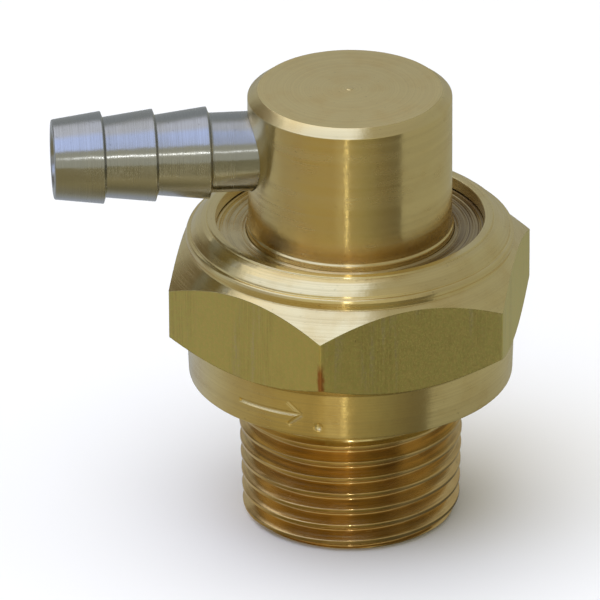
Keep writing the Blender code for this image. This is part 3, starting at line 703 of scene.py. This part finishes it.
def thread_grid(builder):
    """Vertices in rows that follow the helix, one column for each step round the axis."""
    start = THREAD_FRONT_CREST_Z - THREAD_TURNS_BELOW_CREST * PITCH
    columns = []
    for column in range(FINE_SEGMENTS):
        share = column / FINE_SEGMENTS
        angle = -math.pi / 2 + math.tau * share
        line = []
        for turn in range(THREAD_TURNS):
            for step, depth in THREAD_FORM:
                z = start + (turn + step + share) * PITCH
                line.append(builder.verts.new(turn_point(spigot_radius(z, depth), angle, z)))
        columns.append(line)
    return columns


def build_spigot(materials):
    """Threaded spigot: a grid whose rows follow the helix, trimmed level at both ends and closed by its bore.

    Once round the axis, the rows of the last column join those of the first one turn of the thread higher.
    """
    builder = bmesh.new()
    low, high = THREAD_GRID_Z
    columns = thread_grid(builder)
    rows = len(columns[0])
    for column in range(FINE_SEGMENTS):
        last = column + 1 == FINE_SEGMENTS
        here, right = columns[column], columns[0 if last else column + 1]
        shift = len(THREAD_FORM) if last else 0
        for row in range(rows - 1 - shift):
            builder.faces.new([here[row], right[row + shift], right[row + 1 + shift], here[row + 1]])
    for height, side in ((low, -1), (high, 1)):
        bmesh.ops.bisect_plane(
            builder,
            geom=builder.verts[:] + builder.edges[:] + builder.faces[:],
            plane_co=(0, 0, height * MM),
            plane_no=(0, 0, side),
            clear_outer=True,
        )
    close_spigot(builder, low, high)
    bmesh.ops.recalc_face_normals(builder, faces=builder.faces[:])
    spigot = mesh_object("vent_body_spigot", builder)
    finish_piece(spigot, "vent_body", ["hex_body"], materials)
    for face in spigot.data.polygons:
        face.material_index = 1 if face.center.z > (THREAD_TOP_Z - THREAD_RUNOUT) * MM else 0


def boundary_at(builder, z):
    return [e for e in builder.edges if e.is_boundary and abs(e.verts[0].co.z / MM - z) < 0.01]


def extrude_ring(builder, edges, radius, z):
    """Grows a ring of edges into a ring at another radius and height, and gives the new ring's edges."""
    made = bmesh.ops.extrude_edge_only(builder, edges=edges)["geom"]
    for vert in (v for v in made if isinstance(v, bmesh.types.BMVert)):
        flat = Vector((vert.co.x, vert.co.y, 0)).normalized() * radius * MM
        vert.co = Vector((flat.x, flat.y, z * MM))
    return [e for e in made if isinstance(e, bmesh.types.BMEdge)]


def close_spigot(builder, low, high):
    """Adds the neck above the thread, the end face and the bore, and joins the two."""
    upper = boundary_at(builder, high)
    lower = boundary_at(builder, low)
    for radius, z in ((NECK_RADIUS, NECK_FOOT_Z), (NECK_RADIUS, SPIGOT_JOINT_Z)):
        upper = extrude_ring(builder, upper, radius, z)
    for radius, z in (
        (SPIGOT_END_RADIUS, SPIGOT_END_Z + 0.05),
        (SPIGOT_END_RADIUS - 0.05, SPIGOT_END_Z),
        (SCREEN_BORE + 0.08, SPIGOT_END_Z),
        (SCREEN_BORE, SPIGOT_END_Z + 0.08),
        (SCREEN_BORE, SCREEN_LEDGE_Z),
        (SPIGOT_BORE, SCREEN_LEDGE_Z),
        (SPIGOT_BORE, SPIGOT_JOINT_Z),
    ):
        lower = extrude_ring(builder, lower, radius, z)
    bmesh.ops.bridge_loops(builder, edges=upper + lower)


# ---------------------------------------------------------------- cap, ring and barb


def build_cap(material, top_material):
    """The cap: its top with a small pip, its wall down to the flange, its skirt, and up inside it again."""
    profile = filleted(
        [
            (0, CAP_TOP_Z + 0.05, 0),
            (0.22, CAP_TOP_Z + 0.04, 0.03),
            (0.30, CAP_TOP_Z, 0.03),
            (6.83, CAP_TOP_Z, 0.05),
            (CAP_RADIUS, CAP_TOP_Z - 0.58, 0.06),
            (CAP_RADIUS, 12.12, 0.12),
            (7.70, 12.01, 0.04),
            (7.74, 11.90, 0.03),
            (7.74, 10.22, 0),
            (10.8, 10.22, 0.05),
            (10.8, 9.37, 0.05),
            (6.2, 9.37, 0),
            (6.2, 8.7, 0),
            (5.35, 8.7, 0),
            (5.35, 7.4, 0),
            (6.2, 7.4, 0),
            (6.2, 6.95, 0.1),
            (4.9, 6.95, 0.1),
            (4.9, 21.0, 0.3),
            (0, 21.0, 0),
        ]
    )
    cap = lathe("swivel_cap_shell", profile)
    start, end = PORT_SPAN
    radius = TAIL_STUB + PORT_PLAY
    port = lathe("port", [(0, start), (radius, start), (radius, end), (0, end)], CUTTER_SEGMENTS)
    lay_along_tail(port)
    carve(cap, "DIFFERENCE", port)
    finish_piece(cap, "swivel_head", ["swivel_cap"], [material, top_material])
    for face in cap.data.polygons:
        level = face.normal.z > 0.9 and face.center.z > (CAP_TOP_Z - 0.01) * MM
        face.material_index = 1 if level else 0


def build_ring(material):
    """The retaining ring, faced with a coarse feed: its top is a run of shallow uneven rings."""
    profile = [
        (7.77, RING_FOOT, 0),
        (7.77, RING_TOP + 0.05, 0.03),
        (7.86, RING_TOP + 0.07, 0.04),
        (7.99, RING_TOP, 0.04),
        (8.06, RING_TOP - 0.05, 0.03),
        (8.14, RING_TOP - 0.02, 0.03),
    ]
    radius, last = RING_WAVE_SPAN
    while radius < last:
        wave = sum(
            high * math.sin(math.tau * radius / spacing + phase) for high, spacing, phase in RING_WAVES
        )
        profile.append((radius, RING_TOP - 0.02 + wave, 0))
        radius += RING_WAVE_STEP
    profile += [(10.8, RING_TOP - 0.02, 0), (10.8, RING_FOOT, 0)]
    ring = lathe("retaining_ring_face", filleted(profile))
    finish_piece(ring, "vent_body", ["retaining_ring"], [material])


def build_barb(material):
    """The hose tail, turned along Z from its end face over three barbs to its stub, then laid along -X."""
    profile = [(TAIL_BORE + 0.15, TAIL_END, 0.1), (TAIL_STUB, TAIL_END, 0.14)]
    for barb in TAIL_BARBS:
        profile.append((TAIL_CREST, barb + 0.05, 0.06))
        profile.append((TAIL_CREST, barb - 0.04, 0.05))
        profile.append((TAIL_ROOT, barb - 0.2, 0.05))
    profile += [
        (TAIL_STUB, TAIL_BARBS[-1] - 0.32, 0.05),
        (TAIL_STUB, TAIL_START, 0),
        (TAIL_BORE, TAIL_START, 0),
        (TAIL_BORE, TAIL_END - 0.25, 0.05),
    ]
    barb = lathe("hose_barb_shell", filleted(profile), TAIL_SEGMENTS)
    lay_along_tail(barb)
    finish_piece(barb, "swivel_head", ["hose_barb"], [material])


# ---------------------------------------------------------------- the hidden pieces


def soft_shading_group():
    """A modifier that shades a frame piece smooth up to an angle and leaves its mesh alone."""
    group = bpy.data.node_groups.new("smooth_by_angle", "GeometryNodeTree")
    group.interface.new_socket("Geometry", in_out="INPUT", socket_type="NodeSocketGeometry")
    group.interface.new_socket("Geometry", in_out="OUTPUT", socket_type="NodeSocketGeometry")
    start = group.nodes.new("NodeGroupInput")
    end = group.nodes.new("NodeGroupOutput")
    angle = group.nodes.new("GeometryNodeInputMeshEdgeAngle")
    compare = group.nodes.new("FunctionNodeCompare")
    compare.operation = "LESS_THAN"
    compare.inputs[1].default_value = SHARP_ANGLE
    edges = group.nodes.new("GeometryNodeSetShadeSmooth")
    edges.domain = "EDGE"
    faces = group.nodes.new("GeometryNodeSetShadeSmooth")
    link = group.links.new
    link(angle.outputs["Unsigned Angle"], compare.inputs[0])
    link(start.outputs[0], faces.inputs["Geometry"])
    link(faces.outputs[0], edges.inputs["Geometry"])
    link(compare.outputs[0], edges.inputs["Shade Smooth"])
    link(edges.outputs[0], end.inputs[0])
    return group


def dress_frame_nodes(frame, looks):
    """Gives every piece of the frame the material of its slot, and smooth shading."""
    group = soft_shading_group()
    for entry in frame["record"]["subparts"]:
        node = frame["nodes"][entry["node"]]
        node.data.materials.clear()
        node.data.materials.append(looks[entry["material_slot"]])
        node.modifiers.new("shading", "NODES").node_group = group


def make_looks():
    tail_centre = (0, 0, TAIL_AXIS_Z * MM)
    return {
        "body_brass": turned_metal("body_brass", BRASS, 0.19, grain=0.2),
        "body_flats": drawn_metal("body_flats", BRASS_FLAT, 0.42),
        "body_thread": turned_metal(
            "body_thread", BRASS_THREAD_AND_BOUNCE, 0.17, grain=0.3, dull_amount=0.3, grime=0.35
        ),
        "cap_brass": turned_metal("cap_brass", BRASS, 0.21, grain=0.05, mark_rate=2.6),
        "cap_top": turned_metal("cap_top", BRASS, 0.40, grain=0.5, anisotropy=0.0, mark_rate=7.0),
        # The ring gets painted shade on its side to the camera's right.
        "ring_brass": turned_metal(
            "ring_brass", BRASS_RING, 0.22, grain=0.6, dull_amount=0.4, grime=0.25, shaded_side=-14
        ),
        "inner_brass": turned_metal("inner_brass", (0.82, 0.66, 0.34), 0.34, anisotropy=0.3),
        "tail_steel": turned_metal(
            "tail_steel",
            STEEL,
            0.21,
            axis=(1, 0, 0),
            centre=tail_centre,
            dull=(0.8, 0.75, 0.62),
            mark_rate=14.0,
        ),
        "stainless": turned_metal(
            "stainless", (0.60, 0.60, 0.60), 0.30, anisotropy=0.2, dull=(0.8, 0.8, 0.8)
        ),
        "spring_steel": turned_metal(
            "spring_steel", (0.42, 0.42, 0.43), 0.34, anisotropy=0.0, dull=(0.7, 0.7, 0.7)
        ),
        "seal_rubber": plastic("seal_rubber", (0.02, 0.02, 0.021), 0.55),
        "glide_plastic": plastic("glide_plastic", (0.80, 0.80, 0.77), 0.42, subsurface=0.2),
        "float_plastic": plastic("float_plastic", (0.74, 0.70, 0.58), 0.40, subsurface=0.15),
    }


# ---------------------------------------------------------------- room


# The colours and places of what the metal reflects were set against the photo. Directions are seen
# from the vent, in degrees from the one towards the camera, and positive to the camera's right. A pair of
# limits is (no effect, full effect).

# What the table looks like in reflections, by direction.
TABLE_RING = (
    (-180, (0.36, 0.38, 0.38)),
    (-120, (0.40, 0.42, 0.46)),
    (-95, (0.38, 0.38, 0.34)),
    (-76, (0.32, 0.29, 0.20)),
    (-44, (0.34, 0.28, 0.13)),
    (-17, (0.34, 0.27, 0.12)),
    (-14, (0.38, 0.32, 0.17)),
    (-5, (0.40, 0.34, 0.19)),
    (-3, (0.33, 0.28, 0.14)),
    (10, (0.28, 0.25, 0.13)),
    (20, (0.23, 0.21, 0.115)),
    (35, (0.165, 0.145, 0.085)),
    (54, (0.125, 0.115, 0.08)),
    (80, (0.12, 0.11, 0.08)),
    (110, (0.34, 0.36, 0.34)),
    (143, (0.29, 0.31, 0.33)),
    (180, (0.36, 0.38, 0.38)),
)
# The part of the table taken as outside the vent's shadow, to its right. The edge passes through a point,
# (towards the camera, to its right), and goes this far forward for each mm to the right.
TABLE_LIT = (0.345, 0.345, 0.28)
SHADOW_POINT = (14.4, 12.1)
SHADOW_SLOPE = 0.587
SHADOW_EDGE = (-1.2, 1.2)
SHADOW_RIGHT = (2, 6)
# A narrow bright line on the table, seen as the thin upright highlight on every turned wall.
TABLE_LINE = (1.7, 1.55, 1.05)
LINE_LEFT = (-5.0, -4.4)
LINE_RIGHT = (-3.1, -3.7)
LINE_RADII = (24, 34)
# Close to the vent the table is shaded, in front of it and more to its right. FOOT_SHADE is the strength at
# the foot, and the others are what is taken off it.
NEAR_RADII = (34, 8)
FRONT_LEFT = (-80, -45)
FRONT_RIGHT = (150, 90)
DEEP_LEFT = (8, 28)
FOOT_SHADE = 1.05
FRONT_SHADE = 0.63
DEEP_SHADE = 0.18
# Within a distance the table is a little brighter, and more so in a patch in front.
CLOSE_RADII = (50, 44)
CLOSE_GAIN = 0.1
PATCH_LEFT = (-22, -14)
PATCH_RIGHT = (3, -2)
PATCH_GAIN = 0.3
# What the walls and ceiling look like.
WALL_RING = (
    (-180, (0.37, 0.39, 0.40)),
    (-148, (0.37, 0.39, 0.40)),
    (-136, (0.13, 0.11, 0.075)),
    (-116, (0.13, 0.11, 0.075)),
    (-104, (0.42, 0.46, 0.52)),
    (-60, (0.40, 0.40, 0.42)),
    (-30, (0.56, 0.54, 0.42)),
    (15, (0.56, 0.54, 0.42)),
    (60, (0.32, 0.31, 0.26)),
    (120, (0.36, 0.37, 0.33)),
    (180, (0.37, 0.39, 0.40)),
)
SOFTBOX_BACK = (0.97, 0.99, 1.12)
SOFTBOX_FRONT = (0.94, 1.09, 1.62)
CEILING = (0.38, 0.38, 0.34)
CEILING_UP = (0.6, 0.9)
# The soft box, by where a direction meets a level plane one unit above the vent: across to the camera's right
# and along towards it. Its back edge is slanted, and a wing widens it to the left.
BOX_LEFT = (-0.99, -0.80)
BOX_RIGHT = (0.25, 0.03)
BOX_FRONT = (1.15, 0.85)
BOX_SLANT = -1.1
BOX_SLANTED_BACK = (-0.75, -0.4)
BOX_LOW = (0.2, 0.3)
BOX_TONE_CHANGE = (-0.15, 0.2)
WING_LEFT = (-1.75, -1.45)
WING_RIGHT = (-0.7, -0.9)
WING_BACK = (-0.3, -0.02)
LOWEST_UP = 0.001

# The visible table, and the sheet that stands for it in reflections: half sizes, and how far they lie under
# the spigot's end.
TABLE_HALF = 500.0
TABLE_DROP = 0.01
TABLE_COLOUR = (0.93, 0.915, 0.88)
SHEET_HALF = 2000.0
SHEET_DROP = 0.02
BACKDROP = (1.0, 1.0, 1.0)

# Lamps: power in watts, size across, and place. The glint's lamp is given by its distance towards the camera
# and to the left.
WASH_POWER = 6.2
WASH_SIZE = 1200.0
WASH_PLACE = Vector((-100.0, -50.0, 900.0)) * MM
GLINT_POWER = 0.14
GLINT_SIZE = 20.0
GLINT_DISTANCE = 750.0
GLINT_LEFT = 28.0
GLINT_AIM = Vector((0, 0, 10.0)) * MM


def stop(degrees):
    """Where a direction stands along a ramp that goes once round."""
    return (degrees + 180) / 360


def camera_directions(nodes, place):
    """A place or direction as X towards the camera, Y to its right and Z up, and its bearing along a ramp."""
    turned = nodes.add("VectorRotate", {"Vector": place, "Angle": -VIEW_AZIMUTH}, rotation_type="Z_AXIS")
    parts = nodes.add("SeparateXYZ", {0: turned.outputs[0]}).outputs
    angle = nodes.math("ARCTAN2", parts["Y"], parts["X"])
    return parts, nodes.math("ADD", nodes.math("DIVIDE", angle, math.tau), 0.5)


def tones_round(nodes, bearing, tones):
    return nodes.ramp(bearing, [(stop(degrees), colour) for degrees, colour in tones])


def between(nodes, bearing, left, right):
    """1 between two bearings, with a soft edge at each."""
    return nodes.times(*(nodes.step(bearing, *map(stop, limits)) for limits in (left, right)))


def level_sheet(name, half, drop):
    """A square sheet just under the spigot's end."""
    builder = bmesh.new()
    bmesh.ops.create_grid(builder, x_segments=1, y_segments=1, size=half * MM)
    sheet = mesh_object(name, builder)
    sheet.location = (0, 0, (SPIGOT_END_Z - drop) * MM)
    return sheet


def table_strength(nodes, bearing, radius):
    """How bright the reflected table is: shaded near the vent, and lifted a little close in front of it."""
    front = between(nodes, bearing, FRONT_LEFT, FRONT_RIGHT)
    deep = nodes.times(nodes.step(bearing, *map(stop, DEEP_LEFT)), front)
    shade = nodes.math("SUBTRACT", FOOT_SHADE, nodes.times(front, FRONT_SHADE))
    shade = nodes.math("SUBTRACT", shade, nodes.times(deep, DEEP_SHADE))
    outer, inner = NEAR_RADII
    near = nodes.step(radius, inner, outer, shade, 1.0)
    close = nodes.step(radius, *CLOSE_RADII)
    patch = nodes.times(between(nodes, bearing, PATCH_LEFT, PATCH_RIGHT), close)
    strength = nodes.times(near, nodes.math("MULTIPLY_ADD", patch, PATCH_GAIN, 1.0))
    return nodes.times(strength, nodes.math("MULTIPLY_ADD", close, CLOSE_GAIN, 1.0))


def table_reflection():
    """What the metal sees of the table: an emitting sheet that only reflections meet."""
    sheet = level_sheet("table_reflection", SHEET_HALF, SHEET_DROP)
    material, nodes = new_material("table_seen_in_metal")
    place = nodes.place()
    parts, bearing = camera_directions(nodes, place)
    radius = nodes.vector("LENGTH", place)
    forward, right = SHADOW_POINT
    edge = nodes.times(nodes.math("SUBTRACT", parts["Y"], right), SHADOW_SLOPE)
    beyond = nodes.math("SUBTRACT", edge, nodes.math("SUBTRACT", parts["X"], forward))
    lit = nodes.times(nodes.step(beyond, *SHADOW_EDGE), nodes.step(parts["Y"], *SHADOW_RIGHT))
    tone = nodes.mix(lit, tones_round(nodes, bearing, TABLE_RING), TABLE_LIT)
    line = nodes.times(between(nodes, bearing, LINE_LEFT, LINE_RIGHT), nodes.step(radius, *LINE_RADII))
    tone = nodes.mix(line, tone, TABLE_LINE)
    glow = nodes.add("Emission", {"Color": tone, "Strength": table_strength(nodes, bearing, radius)})
    output(nodes, glow)
    sheet.data.materials.append(material)
    material.cycles.emission_sampling = "NONE"
    sheet.visible_camera = False
    sheet.visible_diffuse = False
    sheet.visible_transmission = False
    sheet.visible_shadow = False


def soft_box(nodes, parts):
    """Where the soft box is, and its colour from back to front."""
    up = nodes.math("MAXIMUM", parts["Z"], LOWEST_UP)
    across = nodes.math("DIVIDE", parts["Y"], up)
    along = nodes.math("DIVIDE", parts["X"], up)
    slanted = nodes.math("MULTIPLY_ADD", across, BOX_SLANT, along)
    box = nodes.times(
        nodes.step(across, *BOX_LEFT), nodes.step(across, *BOX_RIGHT), nodes.step(slanted, *BOX_SLANTED_BACK)
    )
    wing = nodes.times(
        nodes.step(across, *WING_LEFT), nodes.step(across, *WING_RIGHT), nodes.step(along, *WING_BACK)
    )
    both = nodes.math("MAXIMUM", box, wing)
    inside = nodes.times(both, nodes.step(along, *BOX_FRONT), nodes.step(parts["Z"], *BOX_LOW))
    return inside, nodes.mix(nodes.step(along, *BOX_TONE_CHANGE), SOFTBOX_BACK, SOFTBOX_FRONT)


def room():
    """The studio as the metal sees it: walls, a ceiling and a soft box. The camera sees plain white."""
    world = bpy.data.worlds.new("room")
    bpy.context.scene.world = world
    world.use_nodes = True
    nodes = Nodes(world.node_tree)
    parts, bearing = camera_directions(nodes, nodes.add("TexCoord").outputs["Generated"])
    tone = nodes.mix(nodes.step(parts["Z"], *CEILING_UP), tones_round(nodes, bearing, WALL_RING), CEILING)
    inside, box = soft_box(nodes, parts)
    tone = nodes.mix(inside, tone, box)
    tone = nodes.mix(nodes.add("LightPath").outputs["Is Camera Ray"], tone, BACKDROP)
    back = nodes.add("Background", {"Color": tone, "Strength": 1.0})
    target = nodes.add("OutputWorld")
    nodes.tree.links.new(back.outputs[0], target.inputs["Surface"])


def floor():
    """A plain pale table under the spigot. The metal sees table_reflection in its place."""
    table = level_sheet("table", TABLE_HALF, TABLE_DROP)
    material, nodes = new_material("table_white")
    output(nodes, nodes.add("BsdfDiffuse", {"Color": TABLE_COLOUR}))
    table.data.materials.append(material)
    table.visible_glossy = False


def lamp(name, power, size, place, aim):
    """A round lamp of some size in mm, turned towards a point."""
    light = bpy.data.lights.new(name, "AREA")
    light.energy = power
    light.shape = "DISK"
    light.size = size * MM
    obj = add_object(name, light)
    obj.location = place
    obj.rotation_euler = (place - aim).to_track_quat("Z", "Y").to_euler()
    return obj


def view_axes():
    """Unit vectors from the vent to the camera, and to the picture's right and top."""
    across = math.cos(VIEW_ELEVATION)
    towards = Vector(
        (across * math.cos(VIEW_AZIMUTH), across * math.sin(VIEW_AZIMUTH), math.sin(VIEW_ELEVATION))
    )
    right = Vector((0, 0, 1)).cross(towards).normalized()
    return towards, right, towards.cross(right)


def camera():
    towards, right, top = view_axes()
    data = bpy.data.cameras.new("camera")
    data.lens = LENS
    data.sensor_width = SENSOR_WIDTH
    data.clip_start, data.clip_end = (limit * MM for limit in CLIP_RANGE)
    obj = add_object("camera", data)
    bpy.context.scene.camera = obj
    target = Vector((0, 0, VIEW_TARGET_Z)) * MM
    offset = (right * -VIEW_LEFT + top * -VIEW_DOWN) * MM
    facing = Matrix((right, top, towards)).transposed()
    roll = Matrix.Rotation(-VIEW_ROLL, 3, "Z")
    place = Matrix.Translation(target + towards * VIEW_DISTANCE * MM + offset)
    obj.matrix_world = place @ (facing @ roll).to_4x4()


def lights():
    """A wide lamp that lights the visible table and isn't reflected, and a small one beside the camera."""
    towards, right, _ = view_axes()
    wash = lamp("table_wash", WASH_POWER, WASH_SIZE, WASH_PLACE, Vector((0, 0, 0)))
    wash.visible_glossy = False
    spot = (towards * GLINT_DISTANCE - right * GLINT_LEFT) * MM
    lamp("front_glint", GLINT_POWER, GLINT_SIZE, spot, GLINT_AIM)


# ---------------------------------------------------------------- main


def main():
    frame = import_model()
    bpy.context.scene.view_settings.view_transform = "Standard"
    looks = make_looks()
    dress_frame_nodes(frame, looks)
    build_body([looks["body_brass"], looks["body_flats"]])
    build_spigot([looks["body_thread"], looks["body_brass"]])
    build_cap(looks["cap_brass"], looks["cap_top"])
    build_ring(looks["ring_brass"])
    build_barb(looks["tail_steel"])
    room()
    floor()
    table_reflection()
    lights()
    camera()


main()
